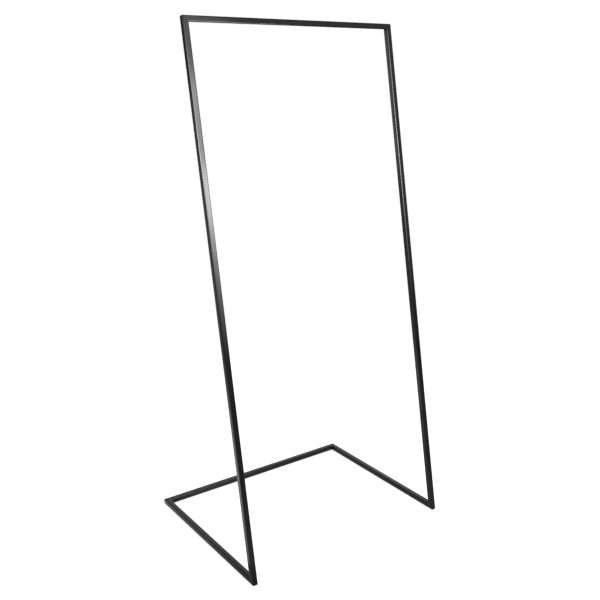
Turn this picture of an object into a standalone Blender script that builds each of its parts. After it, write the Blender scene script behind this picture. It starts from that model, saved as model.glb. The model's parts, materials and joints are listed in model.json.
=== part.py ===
"""Leaning sign stand: one closed loop of six mitred square steel tubes, keyed inside the corners.

Metres, +Z up, front towards -Y, +X to the right. The origin is on the floor, at the centre of the
stand's footprint. The base is a U that is open at the front. From its two open ends the uprights
rise and lean back over the base, and a top rail joins them.
"""

import math

import bmesh
import bpy
from mathutils import Matrix, Vector

# Driving dimensions
OVERALL_HEIGHT = 1.800
OVERALL_WIDTH = 0.840
OVERALL_DEPTH = 0.650
LEAN = math.radians(10.82)

TUBE_SIDE = 0.020
TUBE_WALL = 0.0015
TUBE_CORNER_RADIUS = 0.003
TUBE_CORNER_STEPS = 4

CLEARANCE = 0.0003

KEY_LEG = 0.060
KEY_CHAMFER = 0.0015

SCREW_DIAMETER = 0.006
SCREW_LENGTH = 0.016
SCREW_CHAMFER = 0.0007
SCREW_SIDES = 20
SCREW_FROM_CORNER = 0.045
SOCKET_ACROSS_FLATS = 0.003
SOCKET_DEPTH = 0.0035

PAD_LENGTH = 0.030
PAD_WIDTH = 0.013
PAD_THICKNESS = 0.0015
PAD_FROM_CORNER = 0.020
PAD_END_STEPS = 8

# Sizes that follow from them
HALF_TUBE = TUBE_SIDE / 2
BORE_SIDE = TUBE_SIDE - 2 * TUBE_WALL
BORE_CORNER_RADIUS = TUBE_CORNER_RADIUS - TUBE_WALL
KEY_SIDE = BORE_SIDE - 2 * CLEARANCE
HOLE_DIAMETER = SCREW_DIAMETER + 2 * CLEARANCE

# Directions: along an upright, from its front face to its rear face, and the row's own axes
UP_THE_LEAN = Vector((0, math.sin(LEAN), math.cos(LEAN)))
BEHIND_THE_LEAN = Vector((0, math.cos(LEAN), -math.sin(LEAN)))
ACROSS = Vector((1, 0, 0))
DOWN = Vector((0, 0, -1))

# The loop of tubes: each one runs from its own corner to the next corner in the list, and its
# set screws go in through the side named last: the rear of a leaning tube, the underside of a rail.
LOOP = (
    ("left_upright", "top_left", BEHIND_THE_LEAN),
    ("left_base_rail", "front_left", DOWN),
    ("rear_base_rail", "rear_left", DOWN),
    ("right_base_rail", "rear_right", DOWN),
    ("right_upright", "front_right", BEHIND_THE_LEAN),
    ("top_rail", "top_right", BEHIND_THE_LEAN),
)


def clear_scene():
    """Remove every object that the scene already holds."""
    for old in list(bpy.data.objects):
        bpy.data.objects.remove(old, do_unlink=True)


def new_collection(name):
    """Make a collection in the scene."""
    collection = bpy.data.collections.new(name)
    bpy.context.scene.collection.children.link(collection)
    return collection


def new_material(name, color, roughness, metallic):
    """Make a Principled material."""
    material = bpy.data.materials.new(name)
    material.use_nodes = True
    shader = material.node_tree.nodes["Principled BSDF"]
    shader.inputs["Base Color"].default_value = (*color, 1.0)
    shader.inputs["Roughness"].default_value = roughness
    shader.inputs["Metallic"].default_value = metallic
    return material


def frame_paint():
    """Black semi-gloss powder coat on the tubes."""
    return new_material("black_powder_coat", (0.014, 0.014, 0.014), 0.34, 0.0)


def key_steel():
    """Bright zinc-plated steel of the corner keys."""
    return new_material("zinc_plated_steel", (0.56, 0.57, 0.58), 0.38, 1.0)


def screw_steel():
    """Black oxide steel of the set screws."""
    return new_material("black_oxide_steel", (0.05, 0.05, 0.055), 0.42, 0.9)


def pad_rubber():
    """Black rubber of the floor pads."""
    return new_material("black_rubber", (0.02, 0.02, 0.02), 0.85, 0.0)


def corner_points():
    """Where the tubes' centrelines meet, in the order of LOOP."""
    side_x = OVERALL_WIDTH / 2 - HALF_TUBE
    rail_z = PAD_THICKNESS + HALF_TUBE
    rear_y = OVERALL_DEPTH / 2 - HALF_TUBE
    front_edge = Vector((0, -OVERALL_DEPTH / 2, PAD_THICKNESS))
    toe = Vector((0, HALF_TUBE * (1 + math.sin(LEAN)) / math.cos(LEAN), HALF_TUBE))

    # Length of an upright's front face, whose rounded top edge is the stand's highest line
    radius = TUBE_CORNER_RADIUS
    rise = OVERALL_HEIGHT - PAD_THICKNESS - radius + radius * math.sin(LEAN)
    upright_length = radius + rise / math.cos(LEAN)

    top = front_edge + BEHIND_THE_LEAN * HALF_TUBE + UP_THE_LEAN * (upright_length - HALF_TUBE)
    front = front_edge + toe
    rear = Vector((0, rear_y, rail_z))
    left = -ACROSS * side_x
    right = ACROSS * side_x
    return [top + left, front + left, rear + left, rear + right, front + right, top + right]


def axes_matrix(y_axis, z_axis):
    """Rotation that turns a piece's local Y and Z onto the given unit vectors."""
    return Matrix((y_axis.cross(z_axis), y_axis, z_axis)).transposed()


def place(piece, location, rotation):
    """Set a piece's location and its rotation matrix."""
    piece.location = location
    piece.rotation_euler = rotation.to_euler()


def outline_mesh(name, outlines, thickness, chamfer=0.0):
    """Extrude flat outlines about Z = 0: the first is the solid, and a second one is its hole."""
    curve = bpy.data.curves.new(name, "CURVE")
    curve.dimensions = "2D"
    curve.fill_mode = "BOTH"
    curve.extrude = thickness / 2 - chamfer
    curve.bevel_depth = chamfer
    curve.bevel_resolution = 0
    curve.offset = -chamfer
    for outline in outlines:
        spline = curve.splines.new("POLY")
        spline.points.add(len(outline) - 1)
        for point, (x, y) in zip(spline.points, outline):
            point.co = (x, y, 0, 1)
        spline.use_cyclic_u = True
    source = bpy.data.objects.new(name, curve)
    bpy.context.scene.collection.objects.link(source)
    mesh = evaluated_mesh(source)
    bpy.data.objects.remove(source)

    sheet = bmesh.new()
    sheet.from_mesh(mesh)
    bmesh.ops.remove_doubles(sheet, verts=sheet.verts, dist=0.00001)
    bmesh.ops.recalc_face_normals(sheet, faces=sheet.faces)
    sheet.to_mesh(mesh)
    sheet.free()
    return mesh


def evaluated_mesh(source):
    """A new mesh that holds an object's shape with its modifiers."""
    graph = bpy.context.evaluated_depsgraph_get()
    graph.update()
    return bpy.data.meshes.new_from_object(source.evaluated_get(graph))


def rounded_square(side, radius, steps):
    """A square with arcs at its corners, counter-clockwise."""
    middle = side / 2 - radius
    points = []
    for quarter, (sign_x, sign_y) in enumerate(((1, 1), (-1, 1), (-1, -1), (1, -1))):
        for step in range(steps + 1):
            angle = math.radians(90) * (quarter + step / steps)
            x = sign_x * middle + radius * math.cos(angle)
            y = sign_y * middle + radius * math.sin(angle)
            points.append((x, y))
    return points


def rounded_slot(length, width, steps):
    """A strip along X with half-round ends, counter-clockwise."""
    radius = width / 2
    middle = length / 2 - radius
    points = []
    for end in (0, 1):
        for step in range(steps + 1):
            angle = math.radians(-90 + 180 * (end + step / steps))
            x = (middle if end == 0 else -middle) + radius * math.cos(angle)
            points.append((x, radius * math.sin(angle)))
    return points


def key_outline(angle):
    """An L of two legs of equal width: one along +X, the other turned by angle from it."""
    half = KEY_SIDE / 2
    along = Vector((math.cos(angle), math.sin(angle)))
    inward = Vector((math.sin(angle), -math.cos(angle)))
    inner_corner = Vector((half / math.tan(angle / 2), half))
    tip = along * KEY_LEG
    return [
        -inner_corner,
        (KEY_LEG, -half),
        (KEY_LEG, half),
        inner_corner,
        tip + inward * half,
        tip - inward * half,
    ]


def new_piece(name, mesh, collection, material, parent):
    """Make an object of one sub-part."""
    if not mesh.materials:
        mesh.materials.append(material)
    piece = bpy.data.objects.new(name, mesh)
    piece.parent = parent
    collection.objects.link(piece)
    return piece


def slide_ends_to_mitres(mesh, planes):
    """Move a tube's end faces along its length onto its mitre planes.

    Each plane is a point on the tube's axis and a normal that points into the tube, in its own axes.
    """
    for vertex in mesh.vertices:
        corner, normal = planes[1] if vertex.co.z > 0 else planes[0]
        lead = CLEARANCE / 2 - normal.x * vertex.co.x - normal.y * vertex.co.y
        vertex.co.z = corner.z + lead / normal.z


def tube_mesh(name, length, planes):
    """A square tube along Z, both ends cut to a mitre."""
    outer = rounded_square(TUBE_SIDE, TUBE_CORNER_RADIUS, TUBE_CORNER_STEPS)
    bore = rounded_square(BORE_SIDE, BORE_CORNER_RADIUS, TUBE_CORNER_STEPS)
    mesh = outline_mesh(name, (outer, bore), length)
    slide_ends_to_mitres(mesh, planes)
    shade_round(mesh)
    return mesh


def shade_round(mesh):
    """Shade the rounded faces smooth and keep the sharp edges."""
    mesh.shade_smooth()
    mesh.set_sharp_from_angle(angle=math.radians(35))


def cylinder_mesh(name, diameter, length, sides, chamfer=0.0):
    """A cylinder along Z with its centre at the origin, its end edges chamfered."""
    solid = bmesh.new()
    bmesh.ops.create_cone(
        solid,
        cap_ends=True,
        segments=sides,
        radius1=diameter / 2,
        radius2=diameter / 2,
        depth=length,
    )
    if chamfer:
        rims = [edge for edge in solid.edges if any(len(face.verts) == sides for face in edge.link_faces)]
        bmesh.ops.bevel(solid, geom=rims, offset=chamfer, segments=1, affect="EDGES")
    mesh = bpy.data.meshes.new(name)
    solid.to_mesh(mesh)
    solid.free()
    return mesh


def new_cutter(name, mesh, collection):
    """Make an object that only cuts others."""
    cutter = bpy.data.objects.new(name, mesh)
    cutter.hide_render = True
    cutter.display_type = "WIRE"
    collection.objects.link(cutter)
    return cutter


def cut(piece, cutter):
    """Take the cutter's shape out of a piece."""
    boolean = piece.modifiers.new(cutter.name, "BOOLEAN")
    boolean.operation = "DIFFERENCE"
    boolean.solver = "EXACT"
    boolean.object = cutter


def set_screw_mesh(cutters):
    """A set screw along Z with its hexagon socket at the +Z end."""
    body = cylinder_mesh("set_screw", SCREW_DIAMETER, SCREW_LENGTH, SCREW_SIDES, SCREW_CHAMFER)
    across_corners = SOCKET_ACROSS_FLATS / math.cos(math.radians(30))
    socket = cylinder_mesh("socket", across_corners, 2 * SOCKET_DEPTH, 6)
    blank = bpy.data.objects.new("set_screw_blank", body)
    cutters.objects.link(blank)
    socket_cutter = new_cutter("socket", socket, cutters)
    socket_cutter.location = (0, 0, SCREW_LENGTH / 2)
    cut(blank, socket_cutter)
    mesh = evaluated_mesh(blank)
    bpy.data.objects.remove(blank)
    bpy.data.objects.remove(socket_cutter)
    shade_round(mesh)
    return mesh


def build_tubes(corners, parts, root):
    """The six tubes, by name, each one mitred against the tubes before and after it."""
    material = frame_paint()
    tubes = {}
    count = len(LOOP)
    for index, (name, _, screw_side) in enumerate(LOOP):
        start = corners[index]
        end = corners[(index + 1) % count]
        along = (end - start).normalized()
        to_previous = (corners[index - 1] - start).normalized()
        to_next = (corners[(index + 2) % count] - end).normalized()
        rotation = axes_matrix(screw_side, along)
        length = (end - start).length
        into_tube = rotation.transposed()
        planes = (
            (Vector((0, 0, -length / 2)), into_tube @ (along - to_previous).normalized()),
            (Vector((0, 0, length / 2)), into_tube @ (-along - to_next).normalized()),
        )
        tube = new_piece(name, tube_mesh(name, length, planes), parts, material, root)
        place(tube, (start + end) / 2, rotation)
        tubes[name] = tube
    return tubes


def build_keys(corners, parts, root):
    """One L-shaped key in each corner, its legs inside the two tubes that meet there."""
    material = key_steel()
    keys = {}
    for index, (_, corner_name, _) in enumerate(LOOP):
        to_next = (corners[(index + 1) % len(LOOP)] - corners[index]).normalized()
        to_previous = (corners[index - 1] - corners[index]).normalized()
        name = "corner_key_" + corner_name
        outline = key_outline(to_next.angle(to_previous))
        mesh = outline_mesh(name, (outline,), KEY_SIDE, KEY_CHAMFER)
        key = new_piece(name, mesh, parts, material, root)
        normal = to_next.cross(to_previous).normalized()
        place(key, corners[index], axes_matrix(normal.cross(to_next), normal))
        keys[corner_name] = key
    return keys


def build_screws(corners, tubes, keys, parts, cutters, root):
    """A set screw near each end of each tube, and the hole for it through tube wall and key."""
    material = screw_steel()
    screw_mesh = set_screw_mesh(cutters)
    hole_start = -KEY_SIDE / 2 - CLEARANCE / 2
    hole_end = TUBE_SIDE
    hole_mesh = cylinder_mesh("screw_hole", HOLE_DIAMETER, hole_end - hole_start, SCREW_SIDES)
    screw_middle = -BORE_SIDE / 2 + CLEARANCE + SCREW_LENGTH / 2
    count = len(LOOP)
    for index, (tube_name, start_name, screw_side) in enumerate(LOOP):
        next_index = (index + 1) % count
        end_name = LOOP[next_index][1]
        along = (corners[next_index] - corners[index]).normalized()
        ends = (
            (start_name, corners[index] + along * SCREW_FROM_CORNER),
            (end_name, corners[next_index] - along * SCREW_FROM_CORNER),
        )
        rotation = axes_matrix(along, screw_side)
        for corner_name, middle in ends:
            label = tube_name + "_at_" + corner_name
            hole = new_cutter("screw_hole_" + label, hole_mesh, cutters)
            place(hole, middle + screw_side * (hole_start + hole_end) / 2, rotation)
            cut(tubes[tube_name], hole)
            cut(keys[corner_name], hole)
            screw = new_piece("set_screw_" + label, screw_mesh, parts, material, root)
            place(screw, middle + screw_side * screw_middle, rotation)


def build_pads(corners, parts, root):
    """Thin pads under the base rails' four ends, with their long side along Y."""
    material = pad_rubber()
    outline = rounded_slot(PAD_LENGTH, PAD_WIDTH, PAD_END_STEPS)
    thickness = PAD_THICKNESS - CLEARANCE
    mesh = outline_mesh("floor_pad", (outline,), thickness)
    shade_round(mesh)
    for index, (_, corner_name, _) in enumerate(LOOP):
        if corner_name.startswith("top"):
            continue
        inward = 1 if corner_name.startswith("front") else -1
        corner = corners[index]
        pad = new_piece("floor_pad_" + corner_name, mesh, parts, material, root)
        pad.location = (corner.x, corner.y + inward * PAD_FROM_CORNER, thickness / 2)
        pad.rotation_euler.z = math.radians(90)


def build():
    """Make the whole stand."""
    clear_scene()
    parts = new_collection("sign_stand")
    cutters = new_collection("sign_stand_cutters")
    root = bpy.data.objects.new("sign_stand_origin", None)
    parts.objects.link(root)
    corners = corner_points()
    tubes = build_tubes(corners, parts, root)
    keys = build_keys(corners, parts, root)
    build_screws(corners, tubes, keys, parts, cutters, root)
    build_pads(corners, parts, root)


build()
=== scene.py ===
import json
import math

import bmesh
import bpy
from mathutils import Matrix, Vector


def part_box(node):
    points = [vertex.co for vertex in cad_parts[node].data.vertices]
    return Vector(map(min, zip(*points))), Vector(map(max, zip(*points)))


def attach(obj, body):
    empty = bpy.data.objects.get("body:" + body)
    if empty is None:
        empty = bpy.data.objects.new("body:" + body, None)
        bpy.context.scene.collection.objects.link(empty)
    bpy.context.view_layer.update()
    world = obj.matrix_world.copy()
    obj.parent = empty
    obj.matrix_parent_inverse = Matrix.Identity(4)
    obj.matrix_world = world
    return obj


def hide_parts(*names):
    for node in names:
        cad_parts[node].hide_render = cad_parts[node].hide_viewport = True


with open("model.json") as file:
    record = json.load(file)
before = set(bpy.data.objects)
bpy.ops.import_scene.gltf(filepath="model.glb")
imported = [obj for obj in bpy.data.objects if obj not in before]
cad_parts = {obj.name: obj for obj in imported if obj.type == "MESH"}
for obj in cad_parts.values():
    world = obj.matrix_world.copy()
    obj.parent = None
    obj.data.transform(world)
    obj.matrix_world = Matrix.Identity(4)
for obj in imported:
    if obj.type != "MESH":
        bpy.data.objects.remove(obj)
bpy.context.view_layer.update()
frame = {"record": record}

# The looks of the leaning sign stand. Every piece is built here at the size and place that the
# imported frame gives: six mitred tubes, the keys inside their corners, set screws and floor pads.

MOUNTS = {mount["name"]: mount for mount in frame["record"]["mounts"]}

# Tube: its side comes from the frame. Its soft shoulders start SHOULDER from each outer corner.
RAIL_LOW, RAIL_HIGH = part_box("rear_base_rail")
TUBE_SIDE = RAIL_HIGH.z - RAIL_LOW.z
HALF_TUBE = TUBE_SIDE / 2
TUBE_WALL = 0.0015
SHOULDER = 0.0045
SHOULDER_POWER = 3.0
BORE_RADIUS = 0.0015
CORNER_STEPS = 12
MITRE_GAP = 0.00012
EDGE_ROUND = 0.0002
EDGE_STEPS = 3
SHARP_ANGLE = math.radians(40)
QUARTER_TURN = math.radians(90)

# Corner key, which slides into the bores with a clearance on every side
CLEARANCE = 0.0003
BORE_SIDE = TUBE_SIDE - 2 * TUBE_WALL
KEY_SIDE = BORE_SIDE - 2 * CLEARANCE
KEY_LEG = 0.060
KEY_ROUND = 0.0014
KEY_STEPS = 4

# M6 set screw and the hole that it goes in through
SCREW_RADIUS = 0.003
SCREW_LENGTH = 0.016
SCREW_FROM_CORNER = 0.045
SCREW_CHAMFER = 0.0007
SCREW_SIDES = 36
THREAD_PITCH = 0.001
THREAD_DEPTH = 0.00055
FLANK_STEEPNESS = 1.25
RINGS_PER_PITCH = 6
CUP_RADIUS = 0.0013
CUP_DEPTH = 0.0009
SOCKET_ACROSS_FLATS = 0.003
SOCKET_DEPTH = 0.0035
SOCKET_FLARE = 1.12
SOCKET_FLARE_DEPTH = 0.0002
SOCKET_TIP_DEPTH = 0.0006
TIP_RADIUS = 0.0002
HOLE_RADIUS = 0.0033
HOLE_CHAMFER = 0.00035
HOLE_SIDES = 48

# Floor pad. The dish in its sole is deepest inside DISH_CENTRE_INSET, a share of the pad's width.
PAD_ROUND = 0.0004
PAD_DISH = 0.00025
PAD_LIP = 0.0022
DISH_CENTRE_INSET = 0.34

# Directions that the leaning front faces give
FRONT_OF_LEAN = Vector(MOUNTS["sign_top"]["axis"]).normalized()
BEHIND_THE_LEAN = -FRONT_OF_LEAN
ACROSS = Vector((1, 0, 0))
DOWN = Vector((0, 0, -1))

# Each tube runs from its own corner to the next one's, and its screws go in on the side named last
LOOP = (
    ("left_upright", "top_left", BEHIND_THE_LEAN),
    ("left_base_rail", "front_left", DOWN),
    ("rear_base_rail", "rear_left", DOWN),
    ("right_base_rail", "rear_right", DOWN),
    ("right_upright", "front_right", BEHIND_THE_LEAN),
    ("top_rail", "top_right", BEHIND_THE_LEAN),
)


# ---- Where things are ----

def corner_points():
    """Where the tubes' centrelines meet, in the order of LOOP, from the frame's faces."""
    left_low, left_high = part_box("left_base_rail")
    side_x = -(left_low.x + left_high.x) / 2
    rail_z = (RAIL_LOW.z + RAIL_HIGH.z) / 2
    rear_y = (RAIL_LOW.y + RAIL_HIGH.y) / 2
    top = Vector(MOUNTS["sign_top"]["pos_m"]) + BEHIND_THE_LEAN * HALF_TUBE
    middle = Vector(MOUNTS["sign_left"]["pos_m"]) + BEHIND_THE_LEAN * HALF_TUBE
    foot_y = 2 * middle.y - top.y
    left = -ACROSS * side_x
    right = ACROSS * side_x
    top.x = 0
    front = Vector((0, foot_y, rail_z))
    rear = Vector((0, rear_y, rail_z))
    return [top + left, front + left, rear + left, rear + right, front + right, top + right]


CORNERS = corner_points()


def corner(index):
    """A corner of the loop, counted on past either end of the list."""
    return CORNERS[index % len(CORNERS)]


def along_tube(index):
    """The direction of a tube from its own corner to the next."""
    return (corner(index + 1) - corner(index)).normalized()


def axes_matrix(y_axis, z_axis):
    """Rotation that turns a piece's local Y and Z onto the given unit vectors."""
    return Matrix((y_axis.cross(z_axis), y_axis, z_axis)).transposed()


# ---- Materials ----

# Noise mostly lies between these
NOISE_LOW = 0.3
NOISE_HIGH = 0.7


class Nodes:
    """A small helper that builds a material's node tree."""

    def __init__(self, name):
        self.material = bpy.data.materials.new(name)
        self.material.use_nodes = True
        self.tree = self.material.node_tree
        self.shader = self.tree.nodes["Principled BSDF"]
        self.output = self.tree.nodes["Material Output"]

    def add(self, kind, **settings):
        node = self.tree.nodes.new(kind)
        for key, value in settings.items():
            setattr(node, key, value)
        return node

    def link(self, source, target):
        self.tree.links.new(source, target)

    def place(self, scale=(1, 1, 1)):
        """Places along the piece's own axes, stretched by scale."""
        coordinates = self.add("ShaderNodeAttribute", attribute_name="own_place")
        mapping = self.add("ShaderNodeMapping")
        mapping.inputs["Scale"].default_value = scale
        self.link(coordinates.outputs["Vector"], mapping.inputs["Vector"])
        return mapping.outputs["Vector"]

    def object_place(self):
        """Places from the object's origin."""
        return self.add("ShaderNodeTexCoord").outputs["Object"]

    def noise(self, scale, detail=3.0, roughness=0.5, stretch=(1, 1, 1)):
        texture = self.add("ShaderNodeTexNoise")
        texture.inputs["Scale"].default_value = scale
        texture.inputs["Detail"].default_value = detail
        texture.inputs["Roughness"].default_value = roughness
        self.link(self.place(stretch), texture.inputs["Vector"])
        return texture.outputs["Fac"]

    def ramp(self, value, stops):
        """A colour ramp over (position, colour) stops."""
        node = self.add("ShaderNodeValToRGB")
        elements = node.color_ramp.elements
        while len(elements) < len(stops):
            elements.new(0.5)
        for element, (position, color) in zip(elements, stops):
            element.position = position
            element.color = (*color, 1.0)
        self.link(value, node.inputs["Fac"])
        return node.outputs["Color"]

    def spread(self, value, low, high):
        """Noise carried from where it mostly lies to low..high."""
        node = self.add("ShaderNodeMapRange")
        node.inputs["From Min"].default_value = NOISE_LOW
        node.inputs["From Max"].default_value = NOISE_HIGH
        node.inputs["To Min"].default_value = low
        node.inputs["To Max"].default_value = high
        self.link(value, node.inputs["Value"])
        return node.outputs["Result"]

    def bump(self, height, distance, under=None):
        node = self.add("ShaderNodeBump")
        node.inputs["Distance"].default_value = distance
        node.inputs["Strength"].default_value = 1.0
        self.link(height, node.inputs["Height"])
        if under is not None:
            self.link(under, node.inputs["Normal"])
        return node.outputs["Normal"]

    def surface(self, **values):
        for socket, value in values.items():
            self.shader.inputs[socket.replace("_", " ")].default_value = value


def powder_coat():
    """Black semi-gloss powder coat: fine orange peel, and faint streaks along the drawn tube."""
    nodes = Nodes("black_powder_coat")
    nodes.surface(Metallic=0.0, IOR=1.32)
    cloud = nodes.noise(9.0, detail=2.0)
    color = nodes.ramp(cloud, ((0.3, (0.0054, 0.0051, 0.0050)), (0.7, (0.0088, 0.0083, 0.0080))))
    nodes.link(color, nodes.shader.inputs["Base Color"])
    streak = nodes.noise(260.0, detail=4.0, roughness=0.6, stretch=(1, 1, 0.012))
    nodes.link(nodes.spread(streak, 0.09, 0.14), nodes.shader.inputs["Roughness"])
    drawn = nodes.bump(streak, 0.00003)
    peel = nodes.noise(700.0, detail=2.0)
    nodes.link(nodes.bump(peel, 0.000005, under=drawn), nodes.shader.inputs["Normal"])
    return nodes.material


def bare_steel():
    """Oiled, unpainted steel inside the tubes."""
    nodes = Nodes("bare_steel")
    nodes.surface(Metallic=0.9)
    cloud = nodes.noise(60.0, detail=5.0)
    color = nodes.ramp(cloud, ((0.3, (0.17, 0.16, 0.15)), (0.7, (0.27, 0.26, 0.25))))
    nodes.link(color, nodes.shader.inputs["Base Color"])
    grain = nodes.noise(400.0, detail=4.0, stretch=(1, 1, 0.03))
    nodes.link(nodes.spread(grain, 0.38, 0.55), nodes.shader.inputs["Roughness"])
    nodes.link(nodes.bump(grain, 0.00003), nodes.shader.inputs["Normal"])
    return nodes.material


def zinc_plate():
    """Bright zinc plate on the corner keys, faintly blue and yellow."""
    nodes = Nodes("zinc_plated_steel")
    nodes.surface(Metallic=1.0)
    cloud = nodes.noise(70.0, detail=3.0)
    tints = ((0.32, (0.50, 0.53, 0.57)), (0.5, (0.60, 0.60, 0.58)), (0.7, (0.63, 0.58, 0.48)))
    nodes.link(nodes.ramp(cloud, tints), nodes.shader.inputs["Base Color"])
    grain = nodes.noise(900.0, detail=5.0)
    nodes.link(nodes.spread(grain, 0.26, 0.42), nodes.shader.inputs["Roughness"])
    nodes.link(nodes.bump(grain, 0.00002), nodes.shader.inputs["Normal"])
    return nodes.material


def black_oxide():
    """Black oxide steel of the set screws."""
    nodes = Nodes("black_oxide_steel")
    nodes.surface(Metallic=0.85)
    cloud = nodes.noise(500.0, detail=4.0)
    color = nodes.ramp(cloud, ((0.3, (0.028, 0.028, 0.031)), (0.7, (0.065, 0.063, 0.062))))
    nodes.link(color, nodes.shader.inputs["Base Color"])
    nodes.link(nodes.spread(cloud, 0.30, 0.48), nodes.shader.inputs["Roughness"])
    nodes.link(nodes.bump(cloud, 0.00001), nodes.shader.inputs["Normal"])
    return nodes.material


def pad_rubber():
    """Black moulded rubber of the floor pads."""
    nodes = Nodes("black_rubber")
    nodes.surface(Metallic=0.0, IOR=1.5)
    cloud = nodes.noise(120.0, detail=4.0)
    color = nodes.ramp(cloud, ((0.3, (0.014, 0.014, 0.014)), (0.7, (0.026, 0.026, 0.025))))
    nodes.link(color, nodes.shader.inputs["Base Color"])
    nodes.link(nodes.spread(cloud, 0.72, 0.9), nodes.shader.inputs["Roughness"])
    grain = nodes.noise(2600.0, detail=3.0)
    nodes.link(nodes.bump(grain, 0.00004), nodes.shader.inputs["Normal"])
    return nodes.material


# ---- Mesh tools ----

def ring_mesh(name, rings, closed=False):
    """Quads between rings of points. The two ends are capped, or joined where closed is set."""
    surface = bmesh.new()
    loops = [[surface.verts.new(point) for point in ring] for ring in rings]
    pairs = list(zip(loops, loops[1:]))
    if closed:
        pairs.append((loops[-1], loops[0]))
    sides = len(loops[0])
    for lower, upper in pairs:
        for here in range(sides):
            after = (here + 1) % sides
            surface.faces.new((lower[here], lower[after], upper[after], upper[here]))
    if not closed:
        surface.faces.new(loops[0])
        surface.faces.new(loops[-1])
    bmesh.ops.recalc_face_normals(surface, faces=surface.faces)
    mesh = bpy.data.meshes.new(name)
    surface.to_mesh(mesh)
    surface.free()
    return mesh


def full_turn(sides):
    """Evenly spaced angles of a full turn."""
    return [math.tau * side / sides for side in range(sides)]


def turned_rings(rows, turns):
    """Rings around Z, from rows that give a radius and a height for each turn."""
    return [[(r * math.cos(t), r * math.sin(t), z) for (r, z), t in zip(row, turns)] for row in rows]


def soft_square(side, reach, power):
    """A square whose corners are superellipse quarters, counter-clockwise. Power 2 makes arcs."""
    middle = side / 2 - reach
    points = []
    for quarter in range(4):
        turn = Matrix.Rotation(QUARTER_TURN * quarter, 2)
        for step in range(CORNER_STEPS + 1):
            angle = QUARTER_TURN * step / CORNER_STEPS
            x = middle + reach * max(math.cos(angle), 0) ** (2 / power)
            y = middle + reach * math.sin(angle) ** (2 / power)
            points.append(tuple(turn @ Vector((x, y))))
    return points


def quarter_round(radius, steps):
    """(inset, drop) pairs of a rounded edge, from its flat end to its side."""
    pairs = []
    for step in range(steps + 1):
        angle = QUARTER_TURN * step / steps
        pairs.append((radius * (1 - math.sin(angle)), radius * (1 - math.cos(angle))))
    return pairs


def drill(mesh, holes):
    """Cut cutter meshes, each with its own matrix, out of a mesh, and return the new mesh."""
    blank = bpy.data.objects.new("blank", mesh)
    bpy.context.scene.collection.objects.link(blank)
    cutters = []
    for cutter_mesh, matrix in holes:
        cutter = bpy.data.objects.new("cutter", cutter_mesh)
        bpy.context.scene.collection.objects.link(cutter)
        cutter.matrix_world = matrix
        cut = blank.modifiers.new("cut", "BOOLEAN")
        cut.operation = "DIFFERENCE"
        cut.solver = "EXACT"
        cut.object = cutter
        cutters.append(cutter)
    graph = bpy.context.evaluated_depsgraph_get()
    graph.update()
    drilled = bpy.data.meshes.new_from_object(blank.evaluated_get(graph))
    for helper in (blank, *cutters):
        bpy.data.objects.remove(helper)
    return drilled


def shade(piece):
    """Smooth shading that keeps sharp edges, with large faces kept flat."""
    piece.data.shade_smooth()
    piece.data.set_sharp_from_angle(angle=SHARP_ANGLE)
    weighted = piece.modifiers.new("weighted_normals", "WEIGHTED_NORMAL")
    weighted.keep_sharp = True


def keep_own_place(mesh):
    """Store each point's place along the piece's own axes, which the drawn streaks follow."""
    own = mesh.attributes.new("own_place", "FLOAT_VECTOR", "POINT")
    own.data.foreach_set("vector", [part for vertex in mesh.vertices for part in vertex.co])


def add_piece(name, mesh, matrix, materials, node):
    """Put a finished piece in the place of its CAD node. The mesh itself is moved there."""
    mesh.name = name
    keep_own_place(mesh)
    mesh.transform(matrix)
    for material in materials:
        mesh.materials.append(material)
    piece = bpy.data.objects.new(name, mesh)
    bpy.context.scene.collection.objects.link(piece)
    shade(piece)
    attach(piece, "root")
    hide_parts(node)


# ---- Tubes ----

def mitre_ring(section, middle, normal, lead):
    """A ring of the tube's section on the mitre plane at middle, moved by lead into the tube."""
    inward = -math.copysign(1, middle.z)
    points = []
    for x, y in section:
        offset = MITRE_GAP / 2 - normal.x * x - normal.y * y
        points.append((x, y, middle.z + offset / normal.z + inward * lead))
    return points


def tube_mesh(name, planes):
    """A square tube along Z, closed from outside to bore over two mitred, softly rounded ends."""
    outside = []
    inside = []
    for inset, drop in quarter_round(EDGE_ROUND, EDGE_STEPS):
        outside.append((soft_square(TUBE_SIDE - 2 * inset, SHOULDER - inset, SHOULDER_POWER), drop))
        inside.append((soft_square(BORE_SIDE + 2 * inset, BORE_RADIUS + inset, 2), drop))
    start, end = planes
    rings = [mitre_ring(section, *start, drop) for section, drop in outside]
    rings += [mitre_ring(section, *end, drop) for section, drop in reversed(outside)]
    rings += [mitre_ring(section, *end, drop) for section, drop in inside]
    rings += [mitre_ring(section, *start, drop) for section, drop in reversed(inside)]
    return ring_mesh(name, rings, closed=True)


def hole_cutter():
    """A drill along Z, from just beyond a key to a small chamfer where it leaves the tube."""
    profile = (
        (HOLE_RADIUS, -(KEY_SIDE + CLEARANCE) / 2),
        (HOLE_RADIUS, HALF_TUBE - HOLE_CHAMFER),
        (HOLE_RADIUS + HOLE_CHAMFER, HALF_TUBE),
        (HOLE_RADIUS + 2 * HOLE_CHAMFER, HALF_TUBE + HOLE_CHAMFER),
    )
    rows = [[point] * HOLE_SIDES for point in profile]
    return ring_mesh("hole_cutter", turned_rings(rows, full_turn(HOLE_SIDES)))


def screw_places(index):
    """For a tube's two ends: the corner's name, and the point on its axis that the screw crosses."""
    reach = along_tube(index) * SCREW_FROM_CORNER
    after = (index + 1) % len(LOOP)
    return (
        (LOOP[index][1], corner(index) + reach),
        (LOOP[after][1], corner(after) - reach),
    )


def bore_faces(mesh):
    """The faces inside a tube, which still lies along its own Z."""
    limit = BORE_SIDE / 2 + EDGE_ROUND
    return [f.index for f in mesh.polygons if max(abs(f.center.x), abs(f.center.y)) < limit]


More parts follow.
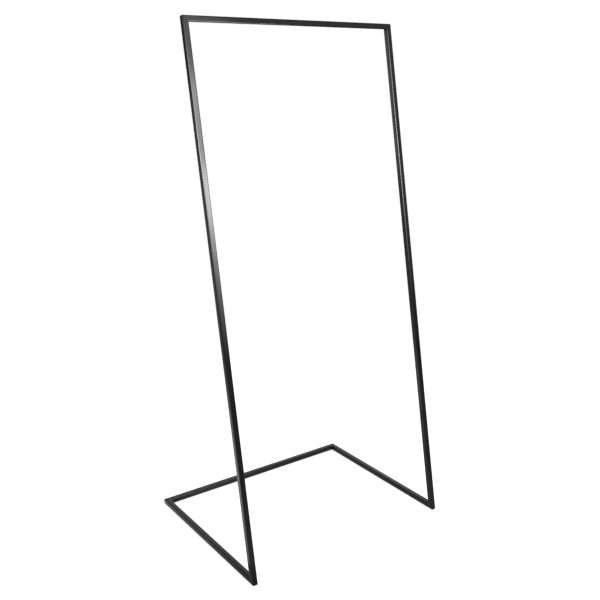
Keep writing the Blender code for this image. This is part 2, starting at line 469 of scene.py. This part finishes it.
def build_tubes(cutter, materials):
    """The six tubes of the loop."""
    for index, (name, _, screw_side) in enumerate(LOOP):
        start = corner(index)
        end = corner(index + 1)
        along = along_tube(index)
        rotation = axes_matrix(screw_side, along)
        into_tube = rotation.transposed()
        half = (end - start).length / 2
        planes = (
            (Vector((0, 0, -half)), into_tube @ (along + along_tube(index - 1)).normalized()),
            (Vector((0, 0, half)), into_tube @ (-along - along_tube(index + 1)).normalized()),
        )
        place = Matrix.Translation((start + end) / 2) @ rotation.to_4x4()
        upright_drill = axes_matrix(along, screw_side).to_4x4()
        holes = [
            (cutter, place.inverted() @ Matrix.Translation(point) @ upright_drill)
            for _, point in screw_places(index)
        ]
        mesh = drill(tube_mesh(name, planes), holes)
        tube_bore = bore_faces(mesh)
        add_piece(name + "_tube", mesh, place, materials, name)
        for face in tube_bore:
            mesh.polygons[face].material_index = 1


# ---- Corner keys ----

def key_outline(angle, inset):
    """An L of two equal legs, one along +X and one turned by angle from it, drawn in by inset."""
    half = KEY_SIDE / 2 - inset
    leg = KEY_LEG - inset
    along = Vector((math.cos(angle), math.sin(angle)))
    inward = Vector((math.sin(angle), -math.cos(angle)))
    inner_corner = Vector((half / math.tan(angle / 2), half))
    tip = along * leg
    ends = (Vector((leg, -half)), Vector((leg, half)))
    return [-inner_corner, *ends, inner_corner, tip + inward * half, tip - inward * half]


def key_mesh(name, angle):
    """A cast L with rounded long edges."""
    edge = quarter_round(KEY_ROUND, KEY_STEPS)
    top = KEY_SIDE / 2
    levels = [(inset, drop - top) for inset, drop in edge]
    levels += [(inset, top - drop) for inset, drop in reversed(edge)]
    rings = [[(*point, z) for point in key_outline(angle, inset)] for inset, z in levels]
    return ring_mesh(name, rings)


def build_keys(cutter, material):
    """One key in each corner, drilled for the screws that hold it."""
    for index, (_, corner_name, _) in enumerate(LOOP):
        bend = corner(index)
        ahead = along_tube(index)
        back = -along_tube(index - 1)
        normal = ahead.cross(back).normalized()
        place = Matrix.Translation(bend) @ axes_matrix(normal.cross(ahead), normal).to_4x4()
        holes = []
        for along, tube in ((ahead, index), (back, index - 1)):
            point = bend + along * SCREW_FROM_CORNER
            turn = axes_matrix(along, LOOP[tube][2]).to_4x4()
            holes.append((cutter, place.inverted() @ Matrix.Translation(point) @ turn))
        node = "corner_key_" + corner_name
        mesh = drill(key_mesh(node, ahead.angle(back)), holes)
        add_piece(node + "_body", mesh, place, (material,), node)


# ---- Set screws ----

def thread_radius(z, turn):
    """The screw's radius at height z and turn, with its ends drawn in to a chamfer."""
    phase = (z / THREAD_PITCH - turn / math.tau) % 1.0
    groove = min(1.0, FLANK_STEEPNESS * (1 - abs(2 * phase - 1)))
    from_end = SCREW_LENGTH / 2 - abs(z)
    return min(SCREW_RADIUS - THREAD_DEPTH * groove, SCREW_RADIUS - SCREW_CHAMFER + from_end)


def hexagon_radius(across_flats, turn):
    """A hexagon's radius at turn."""
    sixth = math.tau / 6
    return across_flats / 2 / math.cos(turn % sixth - sixth / 2)


def screw_mesh():
    """A threaded set screw along Z: a cup point at -Z and a hexagon socket at +Z."""
    turns = full_turn(SCREW_SIDES)
    half = SCREW_LENGTH / 2
    rows = [[(TIP_RADIUS, CUP_DEPTH - half)] * SCREW_SIDES, [(CUP_RADIUS, -half)] * SCREW_SIDES]
    steps = round(SCREW_LENGTH / THREAD_PITCH * RINGS_PER_PITCH)
    for step in range(steps + 1):
        z = half * (2 * step / steps - 1)
        rows.append([(thread_radius(z, turn), z) for turn in turns])
    for scale, depth in ((SOCKET_FLARE, 0.0), (1.0, SOCKET_FLARE_DEPTH), (1.0, SOCKET_DEPTH)):
        flats = SOCKET_ACROSS_FLATS * scale
        rows.append([(hexagon_radius(flats, turn), half - depth) for turn in turns])
    rows.append([(TIP_RADIUS, half - SOCKET_DEPTH - SOCKET_TIP_DEPTH)] * SCREW_SIDES)
    return ring_mesh("set_screw", turned_rings(rows, turns))


def build_screws(material):
    """Twelve set screws, each one driven in from its tube's hidden side to the far wall."""
    rise = SCREW_LENGTH / 2 + CLEARANCE - BORE_SIDE / 2
    for index, (tube_name, _, screw_side) in enumerate(LOOP):
        turn = axes_matrix(along_tube(index), screw_side).to_4x4()
        for corner_name, point in screw_places(index):
            node = "set_screw_" + tube_name + "_at_" + corner_name
            place = Matrix.Translation(point + screw_side * rise) @ turn
            add_piece(node + "_threaded", screw_mesh(), place, (material,), node)


# ---- Floor pads ----

def slot_outline(length, width, inset):
    """A strip along Y with half-round ends, drawn in by inset."""
    radius = width / 2 - inset
    middle = (length - width) / 2
    points = []
    for end in (1, -1):
        for step in range(CORNER_STEPS * 2 + 1):
            angle = QUARTER_TURN * step / CORNER_STEPS
            points.append((end * radius * math.cos(angle), end * (middle + radius * math.sin(angle))))
    return points


def pad_mesh(length, width, height):
    """A moulded pad with soft edges and a shallow dish in its sole, standing on Z = 0."""
    edge = quarter_round(PAD_ROUND, EDGE_STEPS)
    levels = [(width * DISH_CENTRE_INSET, PAD_DISH), (PAD_LIP, PAD_DISH), (PAD_LIP - PAD_DISH, 0.0)]
    levels += edge
    levels += [(inset, height - drop) for inset, drop in reversed(edge)]
    rings = [[(*p, z) for p in slot_outline(length, width, inset)] for inset, z in levels]
    return ring_mesh("floor_pad", rings)


def build_pads(material):
    """Four pads between the side rails and the floor."""
    for side in ("front_left", "front_right", "rear_left", "rear_right"):
        node = "floor_pad_" + side
        low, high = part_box(node)
        middle = (low + high) / 2
        place = Matrix.Translation((middle.x, middle.y, low.z))
        mesh = pad_mesh(high.y - low.y, high.x - low.x, RAIL_LOW.z - low.z)
        add_piece(node + "_moulded", mesh, place, (material,), node)


# ---- Studio ----

LIGHT_TINT = (1.0, 0.992, 0.984)
DISC_SIDES = 96

# The panels below stand on a foot, reach between two distances across from it, and have a height,
# a heading in degrees and a strength. Stops are (share of the height, share of the strength).

# Key panel, a tall softbox to the front right
KEY_PANEL_FOOT = (1.17, -2.877, 0.68)
KEY_PANEL_ACROSS = (-0.8, 0.0)
KEY_PANEL_HEIGHT = 2.45
KEY_PANEL_HEADING = 30
KEY_PANEL_ROLL = 9.5
KEY_PANEL_STRENGTH = 30.0
KEY_PANEL_STOPS = (
    (0.0, 0.01),
    (0.165, 0.13),
    (0.25, 0.25),
    (0.345, 0.51),
    (0.435, 0.98),
    (0.545, 0.97),
    (0.575, 0.46),
    (0.70, 0.45),
    (0.785, 0.58),
    (0.845, 0.25),
    (0.92, 0.13),
)

# Wing that carries the lower share of the key panel on to the right
KEY_WING_ACROSS = (0.0, 0.45)
KEY_WING_SHARE = 0.6

# Front and middle panels, left of the key panel, which light the tubes' rounded edges
FRONT_PANEL_FOOT = (-0.3, -3.3, 1.0)
FRONT_PANEL_ACROSS = (-3.7, 0.0)
MIDDLE_PANEL_ACROSS = (0.0, 0.85)
FRONT_PANEL_HEIGHT = 2.2
FRONT_PANEL_STRENGTH = 57.0
MIDDLE_PANEL_STRENGTH = 30.0
FRONT_PANEL_STOPS = (
    (0.0, 0.0),
    (0.14, 0.09),
    (0.38, 0.33),
    (0.50, 0.58),
    (0.60, 0.92),
    (0.73, 0.53),
    (0.82, 0.42),
    (0.92, 0.25),
)

# Fill panel, right of the key panel
FILL_PANEL_FOOT = (3.9, -4.0, 0.0)
FILL_PANEL_ACROSS = (-2.3, 2.3)
FILL_PANEL_HEIGHT = 4.0
FILL_PANEL_STRENGTH = 1.0
FILL_PANEL_STOPS = ((0.15, 0.15), (0.25, 0.45), (0.4, 0.7), (0.7, 0.7), (0.95, 1.0))

# Evenly lit panels: name, strength, foot, distances across, height and heading
UPPER_PANEL_FOOT = (*KEY_PANEL_FOOT[:2], 2.8)
REAR_PANEL_FOOT = (2.87, 4.1, 2.2)
HIGH_FRONT_PANELS = (
    ("left_panel", 15.0, (-4.0, -2.35, 2.5), (-0.95, 0.95), 0.9, 90),
    ("upper_panel", 4.1, UPPER_PANEL_FOOT, (0.0, 0.3), 1.0, KEY_PANEL_HEADING),
)
REAR_PANELS = (
    ("rear_panel", 1.0, REAR_PANEL_FOOT, (-1.45, -0.2), 1.8, -35),
    ("corner_panel", 1.4, REAR_PANEL_FOOT, (-0.2, 1.45), 1.8, -35),
    ("side_panel", 1.9, (-7.0, 7.5, 0.0), (-0.35, 2.0), 2.6, 90),
    ("back_panel", 4.2, (2.9, 3.5, -0.6), (-1.8, 1.8), 1.3, 0),
)

# Black flag: its strength and height, how far it stands from the rail and below the rail's top,
# and how far it runs on behind the rail
FLAG_STRENGTH = 0.05
FLAG_HEIGHT = 0.022
FLAG_GAP = 0.03
FLAG_DROP = 0.006
FLAG_OVERRUN = 0.1

# Ground, brightest to the left of the stand. Stops are (share of its reach, share of its strength).
GLOW_CENTRE = (-0.85, 0.35, -0.001)
GLOW_REACH = 3.0
GLOW_STRENGTH = 2.0
GLOW_STOPS = ((0.0, 1.0), (0.10, 0.87), (0.16, 0.68), (0.29, 0.40), (0.43, 0.29), (0.83, 0.165))
FAR_GROUND_LOW = (-7.0, 2.0)
FAR_GROUND_HIGH = (-1.6, 9.5)
FAR_GROUND_STRENGTH = 0.6

# Patches of ground, which lie between the glow and the floor
PATCH_LEVEL = -0.0005

# Painted shade on the mirrored ground, standing in for contact shadow: beside the left base rail, at
# the rear left corner and before the left foot
RAIL_SHADE_WIDTH = 0.04
RAIL_SHADE_STRENGTH = 0.8
RAIL_SHADE_STOPS = ((0.0, 1.0), (1.0, 0.35))
CORNER_SHADE_REACH = 0.14
CORNER_SHADE_DEPTH = 0.06
CORNER_SHADE_STRENGTH = 1.25
CORNER_SHADE_STOPS = ((0.0, 0.3), (0.3, 0.5), (1.0, 1.0))
FOOT_SHADE_REACH = 0.3
FOOT_SHADE_WIDTH = 0.2
FOOT_SHADE_STRENGTH = 0.85
FOOT_SHADE_STOPS = ((0.0, 0.15), (0.4, 0.25), (1.0, 0.95))

# Walls and ceiling, as one dome
DOME_RADIUS = 12.0
DOME_SEGMENTS = 48
DOME_RINGS = 24
DOME_STOPS = ((0.0, 0.5), (0.06, 0.5), (0.12, 0.2), (0.75, 0.2), (1.0, 0.5))

# Floor that the camera sees, and the share of its radius where it starts to fade out
FLOOR_RADIUS = 2.6
FLOOR_FADE_START = 0.5
FLOOR_GLOW = 0.6
FLOOR_GREYS = ((0.3, 0.43), (0.7, 0.47))
FLOOR_CLOUD_SCALE = 3.0

# Overhead light
OVERHEAD_PLACE = (0.3, 0.2, 3.6)
OVERHEAD_SIZE = 4.0
OVERHEAD_POWER = 90.0

# Camera: its place in metres, tilt and turn in degrees, and lens and sensor in millimetres
CAMERA_PLACE = (-1.6187, -2.2592, 1.6353)
CAMERA_DOWN = 15.986
CAMERA_RIGHT = 35.686
CAMERA_LENS = 47.875
CAMERA_SENSOR = 36.0


def grey_stops(stops):
    """Colour ramp stops of plain grey."""
    return [(place, (value,) * 3) for place, value in stops]


def light_stops(stops):
    """Colour ramp stops of the lights' faintly warm white."""
    return [(place, tuple(value * part for part in LIGHT_TINT)) for place, value in stops]


def light_material(name, strength, stops=None, value=None):
    """A light's material: even, or graded by what value gives, through the stops."""
    nodes = Nodes(name)
    emission = nodes.add("ShaderNodeEmission")
    emission.inputs["Strength"].default_value = strength
    emission.inputs["Color"].default_value = (*LIGHT_TINT, 1.0)
    nodes.link(emission.outputs["Emission"], nodes.output.inputs["Surface"])
    if stops:
        nodes.link(nodes.ramp(value(nodes), light_stops(stops)), emission.inputs["Color"])
    return nodes.material


def height_share(height):
    """A function that gives a node tree the share of an object's height."""

    def share(nodes):
        split = nodes.add("ShaderNodeSeparateXYZ")
        nodes.link(nodes.object_place(), split.inputs["Vector"])
        divide = nodes.add("ShaderNodeMath", operation="DIVIDE")
        divide.inputs[1].default_value = height
        nodes.link(split.outputs["Z"], divide.inputs[0])
        return divide.outputs["Value"]

    return share


def distance_share(reach):
    """A function that gives a node tree the distance from the object's origin, as a share of reach."""

    def share(nodes):
        length = nodes.add("ShaderNodeVectorMath", operation="LENGTH")
        nodes.link(nodes.object_place(), length.inputs[0])
        divide = nodes.add("ShaderNodeMath", operation="DIVIDE")
        divide.inputs[1].default_value = reach
        nodes.link(length.outputs["Value"], divide.inputs[0])
        return divide.outputs["Value"]

    return share


def stage_mesh(name, shape, material):
    """A piece of the stage, from a bmesh."""
    mesh = bpy.data.meshes.new(name)
    shape.to_mesh(mesh)
    shape.free()
    mesh.materials.append(material)
    card = bpy.data.objects.new(name, mesh)
    bpy.context.scene.collection.objects.link(card)
    return card


def only_reflected(card):
    """The object shows in reflections, and neither the camera nor the floor sees it."""
    card.visible_camera = False
    card.visible_diffuse = False
    card.visible_shadow = False
    card.visible_transmission = False
    return card


def panel(name, foot, across, height, heading, material, roll=0):
    """An upright light panel with its foot at Z = 0, between two distances across."""
    shape = bmesh.new()
    corners = ((across[0], 0), (across[1], 0), (across[1], height), (across[0], height))
    shape.faces.new([shape.verts.new((x, 0, z)) for x, z in corners])
    card = only_reflected(stage_mesh(name, shape, material))
    card.location = foot
    card.rotation_euler = (0, math.radians(roll), math.radians(heading))


def disc(name, radius, place, material):
    """A flat round piece of the stage."""
    shape = bmesh.new()
    bmesh.ops.create_circle(shape, cap_ends=True, segments=DISC_SIDES, radius=radius)
    card = stage_mesh(name, shape, material)
    card.location = place
    return card


def even_panel(name, strength, foot, across, height, heading):
    """A panel that is lit evenly."""
    panel(name, foot, across, height, heading, light_material(name, strength))


def graded_panel(name, strength, stops, foot, across, height, heading, roll=0):
    """A panel whose light changes with height."""
    material = light_material(name, strength, stops, height_share(height))
    panel(name, foot, across, height, heading, material, roll)


def patch(name, low, high, place, material):
    """A level rectangle of ground between two corners, given as X and Y from its place."""
    shape = bmesh.new()
    corners = (low, (high[0], low[1]), high, (low[0], high[1]))
    shape.faces.new([shape.verts.new((x, y, 0)) for x, y in corners])
    only_reflected(stage_mesh(name, shape, material)).location = (*place, PATCH_LEVEL)


def shade_patch(name, strength, stops, reach, low, high, place):
    """A patch of ground whose light changes with the distance from its place."""
    material = light_material(name + "_light", strength, stops, distance_share(reach))
    patch(name, low, high, place, material)


def build_key_panel():
    """The key panel and the wing to its right."""
    graded_panel(
        "key_panel",
        KEY_PANEL_STRENGTH,
        KEY_PANEL_STOPS,
        KEY_PANEL_FOOT,
        KEY_PANEL_ACROSS,
        KEY_PANEL_HEIGHT,
        KEY_PANEL_HEADING,
        KEY_PANEL_ROLL,
    )
    lower_stops = [stop for stop in KEY_PANEL_STOPS if stop[0] < KEY_WING_SHARE]
    graded_panel(
        "key_panel_wing",
        KEY_PANEL_STRENGTH,
        [(share / KEY_WING_SHARE, light) for share, light in lower_stops],
        KEY_PANEL_FOOT,
        KEY_WING_ACROSS,
        KEY_PANEL_HEIGHT * KEY_WING_SHARE,
        KEY_PANEL_HEADING,
        KEY_PANEL_ROLL,
    )


def build_front_panels():
    """The front, middle and fill panels before the stand, and two high, evenly lit ones."""
    for name, strength, across in (
        ("front_panel", FRONT_PANEL_STRENGTH, FRONT_PANEL_ACROSS),
        ("middle_panel", MIDDLE_PANEL_STRENGTH, MIDDLE_PANEL_ACROSS),
    ):
        graded_panel(
            name, strength, FRONT_PANEL_STOPS, FRONT_PANEL_FOOT, across, FRONT_PANEL_HEIGHT, 0
        )
    graded_panel(
        "fill_panel",
        FILL_PANEL_STRENGTH,
        FILL_PANEL_STOPS,
        FILL_PANEL_FOOT,
        FILL_PANEL_ACROSS,
        FILL_PANEL_HEIGHT,
        0,
    )
    for even in HIGH_FRONT_PANELS:
        even_panel(*even)


def build_rear_panels():
    """Dim panels behind the stand: two high up, one far to the left, and one low down."""
    for even in REAR_PANELS:
        even_panel(*even)


def build_black_flag():
    """A black strip beside the left base rail, which keeps its upper edge dark."""
    low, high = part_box("left_base_rail")
    foot = (low.x - FLAG_GAP, high.y, high.z - FLAG_DROP)
    across = (low.y - high.y, FLAG_OVERRUN)
    even_panel("black_flag", FLAG_STRENGTH, foot, across, FLAG_HEIGHT, 90)


def build_dome():
    """The walls and ceiling that the paint mirrors."""
    wall = light_material("wall_light", 1.0, DOME_STOPS, height_share(DOME_RADIUS))
    shape = bmesh.new()
    bmesh.ops.create_uvsphere(
        shape, u_segments=DOME_SEGMENTS, v_segments=DOME_RINGS, radius=DOME_RADIUS
    )
    only_reflected(stage_mesh("wall_dome", shape, wall))


def build_ground():
    """The ground that the paint mirrors: a glow, and a brighter field far off."""
    glow = light_material("ground_light", GLOW_STRENGTH, GLOW_STOPS, distance_share(GLOW_REACH))
    only_reflected(disc("ground_glow", DOME_RADIUS, GLOW_CENTRE, glow))
    far = light_material("far_ground_light", FAR_GROUND_STRENGTH)
    patch("far_ground", FAR_GROUND_LOW, FAR_GROUND_HIGH, (0, 0), far)


def build_shaded_ground():
    """Painted shade on the mirrored ground, standing in for contact shadow close to the left base
    rail's outside, rear corner and foot.
    """
    low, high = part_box("left_base_rail")
    length = high.y - low.y
    shade_patch(
        "shaded_ground",
        RAIL_SHADE_STRENGTH,
        RAIL_SHADE_STOPS,
        length,
        (-RAIL_SHADE_WIDTH, -length),
        (0, 0),
        (low.x, high.y),
    )
    shade_patch(
        "corner_ground",
        CORNER_SHADE_STRENGTH,
        CORNER_SHADE_STOPS,
        CORNER_SHADE_REACH,
        (0, -CORNER_SHADE_DEPTH),
        (CORNER_SHADE_REACH, HALF_TUBE),
        (low.x + TUBE_SIDE, RAIL_LOW.y),
    )
    shade_patch(
        "foot_ground",
        FOOT_SHADE_STRENGTH,
        FOOT_SHADE_STOPS,
        FOOT_SHADE_REACH,
        (0, -FOOT_SHADE_REACH),
        (FOOT_SHADE_WIDTH, 0),
        (low.x, low.y),
    )


def build_floor():
    """A pale floor, lit from below a little, that fades out into the white surroundings."""
    nodes = Nodes("pale_floor")
    nodes.surface(Roughness=0.9, IOR=1.2, Emission_Strength=FLOOR_GLOW)
    nodes.surface(Emission_Color=(1.0, 1.0, 1.0, 1.0))
    cloud = nodes.add("ShaderNodeTexNoise")
    cloud.inputs["Scale"].default_value = FLOOR_CLOUD_SCALE
    nodes.link(nodes.object_place(), cloud.inputs["Vector"])
    tint = nodes.ramp(cloud.outputs["Fac"], grey_stops(FLOOR_GREYS))
    nodes.link(tint, nodes.shader.inputs["Base Color"])
    fade = nodes.add("ShaderNodeMapRange", interpolation_type="SMOOTHSTEP")
    fade.inputs["From Min"].default_value = FLOOR_FADE_START
    nodes.link(distance_share(FLOOR_RADIUS)(nodes), fade.inputs["Value"])
    clear = nodes.add("ShaderNodeBsdfTransparent")
    mix = nodes.add("ShaderNodeMixShader")
    nodes.link(fade.outputs["Result"], mix.inputs["Fac"])
    nodes.link(nodes.shader.outputs["BSDF"], mix.inputs[1])
    nodes.link(clear.outputs["BSDF"], mix.inputs[2])
    nodes.link(mix.outputs["Shader"], nodes.output.inputs["Surface"])
    floor = disc("floor", FLOOR_RADIUS, (0, 0, 0), nodes.material)
    floor.visible_glossy = False


def build_overhead():
    """A large soft light overhead, which brightens the floor."""
    light = bpy.data.lights.new("overhead", "AREA")
    light.shape = "SQUARE"
    light.size = OVERHEAD_SIZE
    light.energy = OVERHEAD_POWER
    lamp = bpy.data.objects.new("overhead", light)
    bpy.context.scene.collection.objects.link(lamp)
    lamp.location = OVERHEAD_PLACE
    lamp.visible_camera = False
    lamp.visible_glossy = False


def build_world():
    """Plain white surroundings, which the panels and the dome stand in for in reflections."""
    world = bpy.data.worlds.new("white_studio")
    bpy.context.scene.world = world
    world.use_nodes = True
    background = world.node_tree.nodes["Background"]
    background.inputs["Color"].default_value = (1.0, 1.0, 1.0, 1.0)
    background.inputs["Strength"].default_value = 1.0
    world.cycles_visibility.glossy = False


def build_studio():
    """The floor, the lights and what the black paint mirrors."""
    build_world()
    build_floor()
    build_overhead()
    build_key_panel()
    build_front_panels()
    build_rear_panels()
    build_black_flag()
    build_dome()
    build_ground()
    build_shaded_ground()


def build_camera():
    """A camera to the front left of the stand, a little below the height of its top rail."""
    data = bpy.data.cameras.new("camera")
    data.sensor_width = CAMERA_SENSOR
    data.lens = CAMERA_LENS
    camera = bpy.data.objects.new("camera", data)
    bpy.context.scene.collection.objects.link(camera)
    camera.location = CAMERA_PLACE
    camera.rotation_euler = (math.radians(90 - CAMERA_DOWN), 0, math.radians(-CAMERA_RIGHT))
    bpy.context.scene.camera = camera


def build():
    """Build the whole picture."""
    cutter = hole_cutter()
    build_tubes(cutter, (powder_coat(), bare_steel()))
    build_keys(cutter, zinc_plate())
    build_screws(black_oxide())
    build_pads(pad_rubber())
    build_studio()
    build_camera()
    bpy.context.scene.view_settings.view_transform = "Standard"


build()
